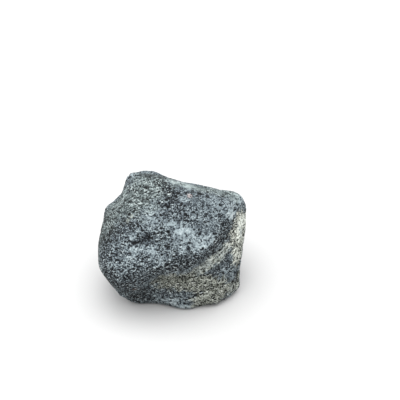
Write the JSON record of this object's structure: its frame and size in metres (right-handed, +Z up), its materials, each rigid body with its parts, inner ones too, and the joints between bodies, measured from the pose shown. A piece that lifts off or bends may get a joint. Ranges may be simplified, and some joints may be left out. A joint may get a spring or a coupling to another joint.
{
  "type": "lava rock",
  "caption": "Fist-sized lump of fine-bubbled grey lava rock: a blunt worn block with a leaning front, an undercut low on the right and a flat broken underside to rest on.",
  "frame": {"origin": "on the ground, under the middle of the stone's box", "axes": "+Z up from the resting face; +X to the right, along the longest side; -Y towards the leaning front"},
  "size_m": [0.0968, 0.09, 0.0829],
  "materials": {
    "basalt": "dry, rough and fine-bubbled, with a pale crust on the right"
  },
  "bodies": {
    "root": {"lava_rock": "basalt"}
  },
  "joints": []
}
